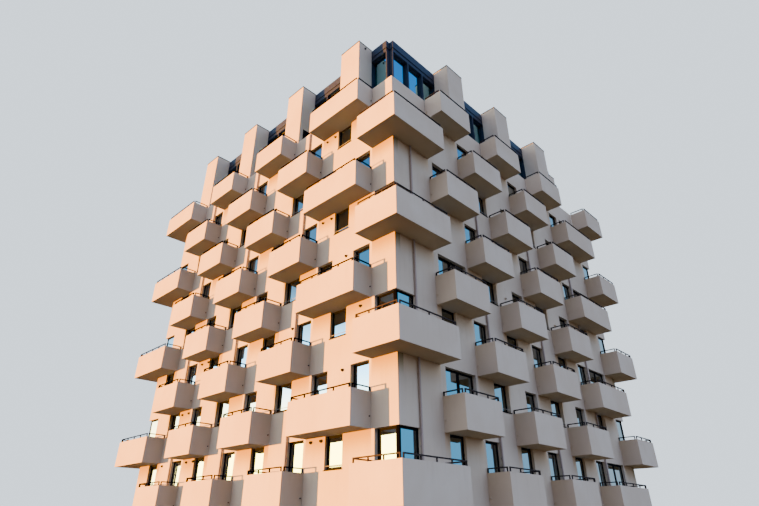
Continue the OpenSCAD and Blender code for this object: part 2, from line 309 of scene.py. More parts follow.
# Axes to turn a profile about, in a face's own frame, each with two sides square to it
AXES = {
    "out": ((0, -1, 0), (0, 0, 1), (-1, 0, 0)),
    "right": ((1, 0, 0), (0, 1, 0), (0, 0, 1)),
    "left": ((-1, 0, 0), (0, 0, 1), (0, 1, 0)),
    "up": ((0, 0, 1), (1, 0, 0), (0, 1, 0)),
}


def turned(face, base, axis, profile, sides=12):
    """A profile turned about an axis through each base point. A profile point is (radius,
    height along the axis), from one pole to the other: at angle a it lies at
    base + height x axis + radius (cos a x first side + sin a x second side)."""
    face, base = np.asarray(face), np.asarray(base, float)
    count = len(base)
    profile = np.broadcast_to(np.asarray(profile, float), (count,) + np.shape(profile)[-2:])
    along, first, second = np.array(AXES[axis], float)
    angle = np.arange(sides) * 2 * math.pi / sides
    spoke = np.cos(angle)[:, None] * first + np.sin(angle)[:, None] * second
    middle = profile[:, 1:-1]
    ring = base[:, None, None] + middle[:, :, None, 1:] * along + middle[:, :, None, :1] * spoke
    poles = base[:, None] + profile[:, [0, -1], 1:] * along
    points = np.concatenate([ring.reshape(count, -1, 3), poles], 1)
    levels = middle.shape[1]
    j, i = np.meshgrid(np.arange(levels - 1), np.arange(sides), indexing="ij")
    after = (i + 1) % sides
    quads = np.stack(
        [j * sides + i, j * sides + after, (j + 1) * sides + after, (j + 1) * sides + i], -1
    ).reshape(-1, 4)
    i = np.arange(sides)
    after = (i + 1) % sides
    start, end, top = levels * sides, levels * sides + 1, (levels - 1) * sides
    fans = np.concatenate([
        np.stack([np.full(sides, start), after, i], -1),
        np.stack([np.full(sides, end), top + i, top + after], -1),
    ])
    size = levels * sides + 2
    points = on_face(face[:, None], points)
    return points.reshape(-1, 3), [repeated(quads, count, size), repeated(fans, count, size)]


def rod(length, radius):
    """Profile of a plain round bar."""
    return [(0, 0), (radius, 0), (radius, length), (0, length)]


def piece(name, parts, finish):
    """Joins parts, each (points, lists of faces), into one mesh that rides on the block."""
    points, faces, offset = [], [], 0
    for part_points, part_faces in parts:
        points.append(part_points)
        for block in part_faces:
            faces.extend((block + offset).tolist())
        offset += len(part_points)
    mesh = bpy.data.meshes.new(name)
    mesh.from_pydata(np.concatenate(points).tolist(), [], faces)
    mesh.update()
    mesh.materials.append(finish)
    made = bpy.data.objects.new(name, mesh)
    bpy.context.scene.collection.objects.link(made)
    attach(made, "root")


# Finishes


def linear(red, green, blue):
    """Linear colour of a display colour given from 0 to 255."""
    channels = [c / 255 for c in (red, green, blue)]
    return tuple(
        c / 12.92 if c <= 0.04045 else ((c + 0.055) / 1.055) ** 2.4 for c in channels
    ) + (1.0,)


class Wire:
    """A shader socket that takes part in arithmetic: each operator adds a Math node."""

    def __init__(self, nodes, socket):
        self.nodes, self.socket = nodes, socket

    def math(self, operation, first, second=0.0):
        return self.nodes.math(operation, first, second)

    def __add__(self, other):
        return self.math("ADD", self, other)

    __radd__ = __add__

    def __sub__(self, other):
        return self.math("SUBTRACT", self, other)

    def __rsub__(self, other):
        return self.math("SUBTRACT", other, self)

    def __mul__(self, other):
        return self.math("MULTIPLY", self, other)

    __rmul__ = __mul__

    def __truediv__(self, other):
        return self.math("DIVIDE", self, other)

    def __mod__(self, other):
        return self.math("FLOORED_MODULO", self, other)

    def above(self, other):
        """1 where the value is greater, else 0."""
        return self.math("GREATER_THAN", self, other)

    def least(self, other):
        """The value, or other where that is greater."""
        return self.math("MAXIMUM", self, other)

    def ramp(self, low, high):
        """0 up to low, 1 from high, and smooth between."""
        return self.nodes.node(
            "MapRange",
            {"interpolation_type": "SMOOTHSTEP"},
            {"Value": self, "From Min": low, "From Max": high},
        )


class Nodes:
    """A node tree that is filled by node() and by arithmetic on its wires."""

    def __init__(self, tree):
        self.tree = tree
        tree.nodes.clear()

    def node(self, kind, settings=None, inputs=None, output=0):
        """Adds a node: its settings are set first, then the values or wires of its inputs."""
        made = self.tree.nodes.new("ShaderNode" + kind)
        for key, value in (settings or {}).items():
            setattr(made, key, value)
        for key, value in (inputs or {}).items():
            self.feed(made.inputs[key], value)
        return Wire(self, made.outputs[output])

    def feed(self, socket, value):
        """Links a wire to a socket, or sets the socket's value."""
        if isinstance(value, Wire):
            self.tree.links.new(value.socket, socket)
        else:
            socket.default_value = value

    def math(self, operation, first, second=0.0):
        return self.node("Math", {"operation": operation}, {0: first, 1: second})

    def mix(self, factor, first, second):
        """Colour that goes from first to second."""
        return self.node("Mix", {"data_type": "RGBA"}, {0: factor, 6: first, 7: second}, 2)

    def vector(self, operation, first, second, output=0):
        return self.node("VectorMath", {"operation": operation}, {0: first, 1: second}, output)

    def noise(self, place, scale, detail=2.0):
        return self.node(
            "TexNoise",
            {"noise_dimensions": "3D"},
            {"Vector": place, "Scale": scale, "Detail": detail},
        )

    def parts(self, vector):
        """The x, y and z of a vector."""
        return [self.node("SeparateXYZ", None, {0: vector}, axis) for axis in (0, 1, 2)]


class Finish(Nodes):
    """A material with one surface shader, whose patterns lie on the object's own place."""

    def __init__(self, name):
        self.material = bpy.data.materials.new(name)
        self.material.use_nodes = True
        super().__init__(self.material.node_tree)
        self.shader = self.tree.nodes.new("ShaderNodeBsdfPrincipled")
        result = self.tree.nodes.new("ShaderNodeOutputMaterial")
        self.tree.links.new(self.shader.outputs["BSDF"], result.inputs["Surface"])
        self.place = self.node("TexCoord", output="Object")

    def surface(self, values):
        """Feeds the surface shader, and gives the finished material."""
        for key, value in values.items():
            self.feed(self.shader.inputs[key], value)
        return self.material

    def stretched(self, x, y, z):
        """The place, drawn together along each axis by its own factor."""
        return self.vector("MULTIPLY", self.place, (x, y, z))

    def bump(self, height):
        """Normal of a surface raised by a height in metres."""
        return self.node("Bump", None, {"Strength": 1.0, "Distance": 1.0, "Height": height})


# How far stains reach down from a parapet's top, how far the painted shade and warm bounce light
# under a tub reach down, how high above a storey's line a level surface still is a floor, and how
# deep its joints are
STAIN_REACH = 1.1
PAINTED_LIGHT_REACH = 1.1
FLOOR_REACH = 0.7
JOINT_DEPTH = 0.002


def render_colour(finish):
    """Cream render: broad cloudy patches, thin rain streaks that fade below each parapet's top,
    and a faint dusting."""
    cloud = finish.noise(finish.place, 0.45, 3.0).ramp(0.35, 0.68)
    fleck = finish.noise(finish.place, 5.0, 4.0)
    streak = finish.noise(finish.stretched(5.0, 5.0, 0.35), 1.0, 3.0).ramp(0.50, 0.78)
    up = finish.parts(finish.place)[2]
    below_top = (TUB_HEIGHT - up % STOREY).ramp(STAIN_REACH, 0.0)
    colour = finish.mix(cloud, RENDER, RENDER_PALE)
    return finish.mix(streak * (0.03 + 0.10 * below_top) + 0.06 * fleck, colour, RENDER_STAIN)


def painted_light_under_tubs(finish, face):
    """Mask of a face's wall just below its tubs, where light and shade are painted into the
    render. A tub of the next storey hangs before a bay where bay + face + next storey is even;
    the wide bay counts as one, and so does the last."""
    x, y, up = finish.parts(finish.place)
    along = (x, y, 0 - x, 0 - y)[face] + HALF
    bay = finish.math("FLOOR", along / BAY)
    bay = finish.math("MINIMUM", bay, float(BAYS - 2)) + along.above(bay_start(BAYS - 1))
    next_storey = finish.math("FLOOR", up / STOREY) + 1
    other = (bay + next_storey + face) % 2
    return (1 - other.above(0.5)) * (up % STOREY).ramp(STOREY - PAINTED_LIGHT_REACH, STOREY)


def render_height(finish):
    """Height of sandy render: a fine grain on slow trowel waves."""
    grain = finish.noise(finish.place, 260.0, 2.0)
    wave = finish.noise(finish.place, 1.7, 2.0)
    return 0.0009 * grain + 0.006 * wave


def cream_render(name="cream_render", face=None):
    """Render on a wall. On a face of the block, light is painted under the tubs: painted shade,
    darker and warmer, on the front and back, and painted warm bounce light on the right and left."""
    finish = Finish(name)
    colour = render_colour(finish)
    if face is not None:
        # Painted shade under the front's and back's tubs, painted warm bounce light under the
        # right's and left's
        share, warm = PAINTED_BOUNCE_UNDER_TUBS if is_wide(face) else PAINTED_SHADE_UNDER_TUBS
        colour = finish.mix(share * painted_light_under_tubs(finish, face), colour, warm)
    return finish.surface({
        "Base Color": colour,
        "Roughness": 0.86,
        "Specular IOR Level": 0.0,
        "Normal": finish.bump(render_height(finish)),
    })


def paving(finish, size, joint):
    """Mask of the joints of square slabs laid on a level floor."""
    x, y, _ = finish.parts(finish.place)
    across = (x % size - joint).above(0.0) * (y % size - joint).above(0.0)
    return 1 - across


def render_and_slabs(name, size, joint, cloud_scale, cloud_detail, roughness):
    """Render on walls, edges and undersides, and square cloudy slabs on the floors."""
    finish = Finish(name)
    up = finish.parts(finish.place)[2]
    facing = finish.parts(finish.node("NewGeometry", output="Normal"))[2]
    floor = facing.above(0.5) * (FLOOR_REACH - up % STOREY).above(0.0)
    joints = paving(finish, size, joint)
    cloud = finish.noise(finish.place, cloud_scale, cloud_detail)
    slabs = finish.mix(joints, finish.mix(cloud, SLAB, SLAB_PALE), SLAB_JOINT)
    return finish.surface({
        "Base Color": finish.mix(floor, render_colour(finish), slabs),
        "Roughness": roughness,
        "Specular IOR Level": 0.0,
        "Normal": finish.bump(render_height(finish) - JOINT_DEPTH * joints * floor),
    })


def bare_concrete():
    """Cloudy grey concrete with fine pores."""
    finish = Finish("bare_concrete")
    cloud = finish.noise(finish.place, 0.8, 5.0)
    pores = finish.noise(finish.place, 40.0, 2.0)
    return finish.surface({
        "Base Color": finish.mix(cloud, SLAB, SLAB_PALE),
        "Roughness": 0.9,
        "Specular IOR Level": 0.0,
        "Normal": finish.bump(0.002 * pores),
    })


def roof_membrane():
    """Grey roofing sheets a metre wide, lapped along their long edges, with dust in puddles."""
    finish = Finish("roof_membrane")
    x = finish.parts(finish.place)[0]
    lap = (x % 1.0).ramp(0.0, 0.09)
    puddle = finish.noise(finish.place, 0.5, 4.0).ramp(0.5, 0.62)
    grit = finish.noise(finish.place, 120.0, 2.0)
    colour = finish.mix(puddle, MEMBRANE, MEMBRANE_PALE)
    return finish.surface({
        "Base Color": finish.mix(0.25 * grit, colour, MEMBRANE_PALE),
        "Roughness": 0.85,
        "Specular IOR Level": 0.0,
        "Normal": finish.bump(0.003 * lap + 0.001 * grit),
    })


def dark_sheet_metal(name, colour, worn, roughness, gloss):
    """Coated sheet metal: slight oil canning, a faint blotch in its sheen and dust streaks."""
    finish = Finish(name)
    dent = finish.noise(finish.place, 1.3, 2.0)
    streak = finish.noise(finish.stretched(7.0, 7.0, 0.8), 1.0, 3.0).ramp(0.45, 0.75)
    sheen = finish.noise(finish.place, 6.0, 3.0)
    return finish.surface({
        "Base Color": finish.mix(0.5 * streak, colour, worn),
        "Roughness": roughness + 0.12 * (sheen - 0.5),
        "Specular IOR Level": gloss,
        "Specular Tint": METAL_EDGE,
        "Normal": finish.bump(0.006 * dent),
    })


def bronze_frame():
    """Dark bronze paint on the window frames, a little chalky along the length."""
    finish = Finish("bronze_frame")
    chalk = finish.noise(finish.stretched(3.0, 3.0, 0.7), 1.0, 3.0)
    return finish.surface({
        "Base Color": finish.mix(chalk, BRONZE, BRONZE_WORN),
        "Roughness": 0.45 + 0.12 * chalk,
        "Specular IOR Level": 0.01,
    })


def painted_steel(name, colour, worn, gloss):
    """Brush-painted steel with small drips and worn spots."""
    finish = Finish(name)
    spot = finish.noise(finish.place, 14.0, 4.0).ramp(0.55, 0.75)
    drips = finish.noise(finish.place, 60.0, 2.0)
    return finish.surface({
        "Base Color": finish.mix(0.6 * spot, colour, worn),
        "Roughness": 0.5 + 0.15 * spot,
        "Specular IOR Level": gloss,
        "Normal": finish.bump(0.0006 * drips),
    })


def brushed_aluminium():
    """Bare metal bars with fine lines round them."""
    finish = Finish("brushed_aluminium")
    brush = finish.noise(finish.stretched(4.0, 4.0, 90.0), 1.0, 2.0)
    return finish.surface({
        "Base Color": finish.mix(brush, ALUMINIUM, ALUMINIUM_PALE),
        "Roughness": 0.38 + 0.16 * brush,
        "Specular IOR Level": 0.2,
    })


def coated_glass():
    """Sun-control glass: a dark tinted mirror, with a film of dust that thickens downwards."""
    finish = Finish("coated_glass")
    up = finish.parts(finish.place)[2]
    film = finish.noise(finish.stretched(2.0, 2.0, 0.8), 1.0, 4.0)
    dust = film * (0.5 - (up % STOREY) / STOREY).least(0.0)
    return finish.surface({
        "Base Color": finish.mix(0.12 * dust, GLASS, GLASS_DUST),
        "Metallic": 1.0,
        "Roughness": 0.015 + 0.10 * dust,
        "Specular Tint": GLASS_EDGE,
    })


def teal_glass():
    """The top storeys' glass: a teal tinted mirror with a faint film of dust."""
    finish = Finish("teal_glass")
    film = finish.noise(finish.stretched(2.0, 2.0, 0.8), 1.0, 4.0)
    return finish.surface({
        "Base Color": finish.mix(0.10 * film, TEAL, GLASS_DUST),
        "Metallic": 1.0,
        "Roughness": 0.02 + 0.03 * film,
        "Specular Tint": GLASS_EDGE,
    })


def dark_plastic():
    """Speckled dark plastic of handles, vents and spouts."""
    finish = Finish("dark_plastic")
    speck = finish.noise(finish.place, 90.0, 2.0)
    return finish.surface({
        "Base Color": finish.mix(speck, PLASTIC, PLASTIC_WORN),
        "Roughness": 0.55 + 0.1 * speck,
        "Specular IOR Level": 0.1,
    })


# Colours as they look under white light. Those of glass and of edges tint what is mirrored.
RENDER = linear(199, 180, 150)
RENDER_PALE = linear(205, 188, 159)
RENDER_STAIN = linear(150, 131, 107)
SLAB = linear(150, 142, 134)
SLAB_PALE = linear(172, 164, 154)
SLAB_JOINT = linear(88, 82, 76)
MEMBRANE = linear(84, 84, 86)
MEMBRANE_PALE = linear(128, 124, 118)
ROOF_METAL = linear(42, 46, 58)
ROOF_METAL_WORN = linear(50, 54, 64)
METAL_EDGE = (1.0, 0.80, 0.65, 1.0)
CAP_METAL = linear(7, 7, 9)
CAP_METAL_WORN = linear(13, 12, 13)
BRONZE = linear(11, 11, 12)
BRONZE_WORN = linear(19, 17, 16)
RAIL = linear(7, 7, 9)
RAIL_WORN = linear(14, 13, 13)
# Painted light: the right's and left's rails get a lighter copy of the same paint, for the sky
# light that the shaded rails catch
RAIL_PAINTED_LIGHT = linear(54, 48, 44)
RAIL_WORN_PAINTED_LIGHT = linear(62, 55, 50)
PIPE = linear(162, 142, 126)
PIPE_WORN = linear(176, 156, 140)
ALUMINIUM = linear(120, 112, 104)
ALUMINIUM_PALE = linear(150, 142, 132)
GLASS = (0.30, 0.33, 0.33, 1.0)
GLASS_DUST = linear(120, 112, 100)
GLASS_EDGE = (0.80, 0.85, 0.88, 1.0)
TEAL = (0.28, 0.56, 0.60, 1.0)
PLASTIC = linear(44, 37, 33)
PLASTIC_WORN = linear(66, 56, 50)

# Painted light under the tubs, how strongly it shows and its colour: painted shade on the front
# and back, darker and warmer than the render, and painted warm bounce light on the right and left
PAINTED_SHADE_UNDER_TUBS = 0.9, linear(158, 134, 84)
PAINTED_BOUNCE_UNDER_TUBS = 0.6, linear(214, 174, 122)

render_finish = cream_render()
wall_finishes = {
    name: cream_render(f"{name}_wall_render", face) for face, name in enumerate(FACES)
}
tub_finish = render_and_slabs(
    "tub_render_and_slabs", size=0.30, joint=0.006, cloud_scale=3.0, cloud_detail=3.0,
    roughness=0.86,
)
terrace_finish = render_and_slabs(
    "terrace_slabs", size=0.50, joint=0.008, cloud_scale=2.0, cloud_detail=4.0, roughness=0.88,
)
concrete_finish = bare_concrete()
membrane_finish = roof_membrane()
roof_metal_finish = dark_sheet_metal(
    "roof_metal", ROOF_METAL, ROOF_METAL_WORN, roughness=0.45, gloss=0.14,
)
cap_finish = dark_sheet_metal("cap_metal", CAP_METAL, CAP_METAL_WORN, roughness=0.5, gloss=0.0)
bronze_finish = bronze_frame()
rail_finish = painted_steel("rail_paint", RAIL, RAIL_WORN, gloss=0.0)
# The lighter rail paint is painted light on the shaded rails of the right and left faces
rail_finish_with_painted_light = painted_steel("rail_paint_with_painted_light", RAIL_PAINTED_LIGHT, RAIL_WORN_PAINTED_LIGHT, gloss=0.0)
pipe_finish = painted_steel("pipe_paint", PIPE, PIPE_WORN, gloss=0.1)
aluminium_finish = brushed_aluminium()
glass_finish = coated_glass()
top_glass_finish = teal_glass()
plastic_finish = dark_plastic()

NODE_FINISHES = {
    "ground_slab": concrete_finish,
    "roof_pier_caps": cap_finish,
    "top_floor": concrete_finish,
    "top_posts": roof_metal_finish,
    "top_beam": roof_metal_finish,
    "roof_slab": membrane_finish,
    "roof_fascia": roof_metal_finish,
    "downpipes": pipe_finish,
    "floor_8": terrace_finish,
    "front_handrails": rail_finish,
    # The right and left rails take the lighter copy of the rail paint, which is painted light
    "right_handrails": rail_finish_with_painted_light,
    "back_handrails": rail_finish,
    "left_handrails": rail_finish_with_painted_light,
}


def finish_of(node):
    """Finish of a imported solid: its own, its face's or its kind's, and else plain render."""
    if node in NODE_FINISHES:
        return NODE_FINISHES[node]
    if node.endswith("_wall"):
        return wall_finishes[node[:-len("_wall")]]
    return tub_finish if node.startswith("tubs") else render_finish


for name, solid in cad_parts.items():
    for slot in solid.material_slots:
        slot.material = finish_of(name)
    if not solid.material_slots:
        solid.data.materials.append(finish_of(name))


# Windows and doors

# Profiles hold (inset, depth) for rings and (radius, height) for turned pieces
FRAME_PROFILE = [
    (0, 0), (0.050, 0), (0.054, 0.004), (0.054, 0.018), (0.058, 0.018), (0.058, 0.008),
    (0.062, 0.004), (0.096, 0.004), (FRAME_WIDTH, 0.020), (FRAME_WIDTH, FRAME_DEPTH),
    (0, FRAME_DEPTH),
]
ROSE_PROFILE = [(0, 0), (0.022, 0), (0.022, 0.008), (0.009, 0.010), (0.009, 0.045), (0, 0.045)]


def leaves(face):
    """Rectangles (u0, u1, z0, z1) of a face's leaves away from the corners, with the v of their
    frames: one leaf for a single opening and two, side by side, for a double one. Also the
    doors and the windows with sills."""
    rects, fronts, doors, sills = [], [], [], []
    for storey in range(TUB_STOREYS):
        for opening in openings(face, storey):
            if at_corner(opening):
                continue
            left, right, door = opening
            foot = slab_top(storey) if door else storey * STOREY + SILL + SILL_THICK
            head = (storey + 1) * STOREY
            parts = 2 if right - left > 1.5 * OPENING else 1
            width = (right - left) / parts
            for part in range(parts):
                start = left + part * width
                rects.append((start, start + width, foot, head))
                fronts.append(recess(storey))
            (doors if door else sills).append((left, right, foot, storey))
    return rects, fronts, doors, sills


def glass_rects(rects, frame_width):
    """The glass of leaves: each rectangle drawn in to a little behind the frame's inner edge."""
    edge = frame_width - GLASS_HIDDEN
    return np.asarray(rects, float) + np.array([edge, -edge, edge, -edge])


def right_end_recess(face):
    """How deep the corner leaf at a face's right end stands: deeper on the front and the back."""
    return CORNER_RECESS if is_wide(face) else DEEP_CORNER_RECESS


def corner_leaves(face):
    """Leaves of the glazed corners that lie in a face, with the v of their frames: beside its
    left end on some storeys, and beside its right end on the others. The latter have a narrow
    dark panel between leaf and jamb, which is painted shade: it stands in for the jamb's shadow
    and the shaded reveal mirrored in the glass."""
    rects, fronts, panels = [], [], []
    behind_cover = CORNER_RECESS + CORNER_COVER
    behind_post = FACE - CORNER_RECESS - CORNER_POST
    jamb = corner_pane(face)
    for storey in range(1, TUB_STOREYS):
        foot, head = slab_top(storey), (storey + 1) * STOREY
        if tubs_even(face, storey):
            rects.append((behind_cover, jamb, foot, head))
            fronts.append(CORNER_RECESS)
        else:
            rects.append((FACE - jamb + CORNER_SHADE_PANEL, behind_post, foot, head))
            fronts.append(right_end_recess(face))
            panels.append((FACE - jamb, FACE - jamb + CORNER_SHADE_PANEL, foot, head))
    return rects, fronts, panels


def windows(face):
    """All frames and panes of a face below the terrace, and what belongs to them."""
    name = FACES[face]
    rects, fronts, doors, sills = leaves(face)
    corners, corner_fronts, panels = corner_leaves(face)
    front, back = right_end_recess(face) + CORNER_SHADE_PANEL_STEP, right_end_recess(face) + FRAME_DEPTH
    # Dark panels beside the corner leaves: painted shade for the jamb's shadow and the mirrored
    # reveal
    shade_panel_boxes = boxes(np.full(len(panels), face),
                        [(left, front, foot) for left, _, foot, _ in panels],
                        [(right, back, head) for _, right, _, head in panels])
    every = rects + corners
    planes = np.array(fronts + corner_fronts)
    here = np.full(len(every), face)
    piece(f"{name}_window_frames", [rings(here, every, planes, FRAME_PROFILE), shade_panel_boxes],
          bronze_finish)
    glass = panes(here, glass_rects(every, FRAME_WIDTH), planes + GLASS_BACK)
    piece(f"{name}_window_glass", [glass], glass_finish)
    window_sills(face, sills)
    guard_bars(face, sills)
    door_parts(face, doors)


def window_sills(face, sills):
    """Folded metal sills: a plate on the sill wall and a nose that runs past both jambs."""
    here = np.full(len(sills), face)
    plates = boxes(here, [(left, 0, z - SILL_THICK) for left, _, z, _ in sills],
                   [(right, recess(storey) + SILL_UNDER_FRAME, z)
                    for _, right, z, storey in sills])
    noses = boxes(here, [(left - SILL_NOSE, -SILL_NOSE, z - SILL_NOSE_HEIGHT)
                         for left, _, z, _ in sills],
                  [(right + SILL_NOSE, 0, z) for _, right, z, _ in sills])
    piece(f"{FACES[face]}_window_sills", [plates, noses], bronze_finish)


def guard_bars(face, sills):
    """A round bar across each window with a sill, let into both jambs."""
    here = np.full(len(sills), face)
    base = [(left, BAR_BEHIND, foot + BAR_RISE) for left, _, foot, _ in sills]
    profiles = [rod(right - left, BAR_RADIUS) for left, right, _, _ in sills]
    piece(f"{FACES[face]}_guard_bars", [turned(here, base, "right", profiles, 8)],
          aluminium_finish)


def door_parts(face, doors):
    """Door sills of folded metal and lever handles on the balcony doors."""
    here = np.full(len(doors), face)
    plates = boxes(here, [(left, DOOR_SILL_BEHIND, foot) for left, _, foot, _ in doors],
                   [(right, recess(storey), foot + DOOR_SILL_THICK)
                    for _, right, foot, storey in doors])
    spots = [(left + HANDLE_FROM_JAMB, recess(storey), foot + HANDLE_HEIGHT)
             for left, _, foot, storey in doors]
    rose = turned(here, spots, "out", ROSE_PROFILE, 12)
    ends = [(u, v - LEVER_OUT, z) for u, v, z in spots]
    lever = turned(here, ends, "right", rod(LEVER_LENGTH, LEVER_RADIUS), 8)
    piece(f"{FACES[face]}_door_sills", [plates], bronze_finish)
    piece(f"{FACES[face]}_door_handles", [rose, lever], plastic_finish)


def corner_posts():
    """Dark posts at the glazed corners, as tall as their storeys: a cover strip, and a post
    behind it that fills the place beside the next face's leaf."""
    face, low, high = [], [], []
    cover, leaf = CORNER_RECESS + CORNER_COVER, CORNER_RECESS + FRAME_DEPTH
    far, back = CORNER_RECESS + CORNER_POST, DEEP_CORNER_RECESS + FRAME_DEPTH
    for storey in range(1, TUB_STOREYS):
        foot, head = slab_top(storey), (storey + 1) * STOREY
        for side in range(len(FACES)):
            if tubs_even(side, storey):
                face += [side, side]
                low += [(CORNER_RECESS, CORNER_RECESS, foot), (cover, leaf, foot)]
                high += [(cover, far, head), (back, far, head)]
    piece("corner_window_posts", [boxes(face, low, high)], cap_finish)


# Top storeys

TOP_FRAME_PROFILE = [
    (0, 0), (0.026, 0), (0.030, 0.004), (0.030, 0.030), (TOP_FRAME_WIDTH, 0.036),
    (TOP_FRAME_WIDTH, 0.06), (0, 0.06),
]


def top_glazing():
    """Two tiers of panes between the posts of the top storeys, with a panel before the floor."""
    first = SETBACK + CORNER_NOTCH
    step = (FACE - 2 * first - POST_WIDTH) / GLAZED_BAYS
    bays = [(first + POST_WIDTH + i * step, first + (i + 1) * step) for i in range(GLAZED_BAYS)]
    tiers = ((TERRACE + FLOOR, TOP_FLOOR_FOOT), (TOP_FLOOR_TOP, HEADER_FOOT))
    front = POST_FRONT + TOP_RECESS
    rects = [(left, right, low, high) for low, high in tiers for left, right in bays]
    glass = glass_rects(rects, TOP_FRAME_WIDTH)
    for face, name in enumerate(FACES):
        here = np.full(len(rects), face)
        piece(f"{name}_top_frames", [rings(here, rects, front, TOP_FRAME_PROFILE)],
              roof_metal_finish)
        piece(f"{name}_top_glass", [panes(here, glass, front + TOP_GLASS_BACK)],
              top_glass_finish)
    face = np.repeat(np.arange(len(FACES)), len(bays))
    low = [(left, front, TOP_FLOOR_FOOT) for _ in FACES for left, _ in bays]
    high = [(right, GLASS_LINE, TOP_FLOOR_TOP) for _ in FACES for _, right in bays]
    piece("top_floor_panels", [boxes(face, low, high)], roof_metal_finish)


# Small fittings

VENT_PROFILE = [
    (0, 0), (0.075, 0), (0.075, 0.008), (0.055, 0.012), (0.055, 0.075), (0.045, 0.075),
    (0.043, 0.020), (0, 0.020),
]

# Vents in the walls, by storey, as (u, height above the storey's line)
WALL_VENTS = {
    1: [(3.10, 2.63), (6.04, 2.63), (6.80, 2.63), (17.06, 2.63), (17.75, 2.63)],
    2: [(4.59, 2.58), (5.36, 2.58), (18.99, 2.65)],
    3: [(6.04, 2.58), (6.80, 2.58), (15.07, 2.69), (20.07, 2.56)],
    4: [(19.00, 2.68)],
    5: [(17.06, 2.54), (17.75, 2.54)],
    7: [(17.06, 2.51), (17.75, 2.51)],
}
PAINTED_VENTS = {4: [(9.03, 2.11), (14.56, 1.92)], 5: [(5.67, 0.35)]}

# A vent (u, v, z) in a pier's side, and a hatch (u, v of its front edge, z of its head)
PIER_VENT = (bay_start(BAYS - 2) + BAY + INSET, 0.53, 28.48)
PIER_HATCH = (bay_start(5) + INSET, 0.29, 25.12)
PIER_HATCH_WIDTH = 0.66
PIER_HATCH_THICK = 0.012

# Spouts of the tubs and collars of the downpipes
SPOUT_PROFILE = [(0, 0), (0.028, 0), (0.024, 0.055), (0.016, 0.055), (0.015, 0.010), (0, 0.010)]
SPOUT_HEIGHT = 0.47
SPOUT_BESIDE_WALL = 0.11
COLLAR_ABOVE_FLOOR = 0.10
COLLAR_RADIUS = PIPE_RADIUS + 0.007
COLLAR_PROFILE = [
    (0, 0), (PIPE_RADIUS, 0), (COLLAR_RADIUS, 0.006), (COLLAR_RADIUS, 0.07), (PIPE_RADIUS, 0.078),
    (0, 0.078),
]


def vents():
    """Short vent pipes high on the front and back walls, and painted ones on the other faces."""
    kinds = ((WALL_VENTS, "wall_vents", plastic_finish, "pipe_metal", (0, 2)),
             (PAINTED_VENTS, "painted_wall_vents", render_finish, "render", (1, 3)))
    for places, name, finish, slot, faces in kinds:
        spots = [(u, 0.0, storey * STOREY + up) for storey in places for u, up in places[storey]]
        face = np.repeat(faces, len(spots))
        piece(name, [turned(face, spots * 2, "out", VENT_PROFILE, 14)], finish)


def spouts():
    """Overflow spouts low in a cheek of each straight tub, close to the wall. Those of the right
    and left faces are painted over."""
    by_axis = {"right": ([], []), "left": ([], [])}
    for face in range(len(FACES)):
        axis = "left" if is_wide(face) else "right"
        for storey in range(1, TUB_STOREYS + 1):
            for b in range(1, BAYS - 1):
                if (b % 2 == 0) != tubs_even(face, storey):
                    continue
                start, end = bay_start(b), bay_start(b + 1)
                u = start + TUB_GAP if axis == "left" else end - TUB_GAP
                by_axis[axis][0].append(face)
                by_axis[axis][1].append((u, -SPOUT_BESIDE_WALL, storey * STOREY + SPOUT_HEIGHT))
    bare = turned(*by_axis["right"], "right", SPOUT_PROFILE, 10)
    painted = turned(*by_axis["left"], "left", SPOUT_PROFILE, 10)
    piece("tub_spouts", [bare], plastic_finish)
    piece("painted_tub_spouts", [painted], render_finish)


def pier_fittings():
    """On the front and back: a hatch low in one pier's side, and a vent high in another's."""
    face = (0, 2)
    u, v, head = PIER_HATCH
    low = (u, v, TERRACE + FLOOR)
    high = (u + PIER_HATCH_THICK, v + PIER_HATCH_WIDTH, head)
    piece("pier_hatches", [boxes(face, [low, low], [high, high])], bronze_finish)
    vent = turned(face, [PIER_VENT, PIER_VENT], "right", VENT_PROFILE, 14)
    piece("pier_vents", [vent], plastic_finish)


def pipe_places(face):
    """Where the downpipes of a face stand: beside the doors of the odd storeys' tubs."""
    last = bay_start(BAYS - 1) - BAY / 2
    doors = [o for o in openings(face, 1) if o[2] and o[1] < last]
    if is_wide(face):
        return [right + PIPE_JAMB_OFFSET for _, right, _ in doors]
    return [left - PIPE_JAMB_OFFSET for left, _, _ in doors]


def pipe_collars():
    """A socket collar on each downpipe, above the floor of each odd storey's tub. The middle
    pipes of the right and left faces end before the last of these storeys."""
    face, base = [], []
    for side in range(len(FACES)):
        places = pipe_places(side)
        for i, u in enumerate(places):
            short = is_wide(side) and 0 < i < len(places) - 1
            for storey in range(1, TUB_STOREYS - 2 if short else TUB_STOREYS, 2):
                height = storey * STOREY + TUB_FLOOR + COLLAR_ABOVE_FLOOR
                face.append(side)
                base.append((u, -PIPE_WALL_GAP - PIPE_RADIUS, height))
    collars = turned(face, base, "up", COLLAR_PROFILE, 16)
    piece("pipe_collars", [collars], pipe_finish)


for side in range(len(FACES)):
    windows(side)
corner_posts()
top_glazing()
vents()
spouts()
pier_fittings()
pipe_collars()


# Floor, light and camera

# Half the floor's width
STUDIO_REACH = 90.0

# The key light comes from the front left, from just above the ground, and a share of it is thrown
# back between the surfaces
SUN_AZIMUTH = math.radians(41.5)
SUN_HEIGHT = math.radians(0.1)
TO_SUN = Vector((
    -math.sin(SUN_AZIMUTH) * math.cos(SUN_HEIGHT),
    -math.cos(SUN_AZIMUTH) * math.cos(SUN_HEIGHT),
    math.sin(SUN_HEIGHT),
))
SUN_STRENGTH = 33.0
SUN_COLOUR = (1.0, 0.35, 0.0)
SUN_WIDTH = math.radians(0.6)
BOUNCE_SHARE = 0.07

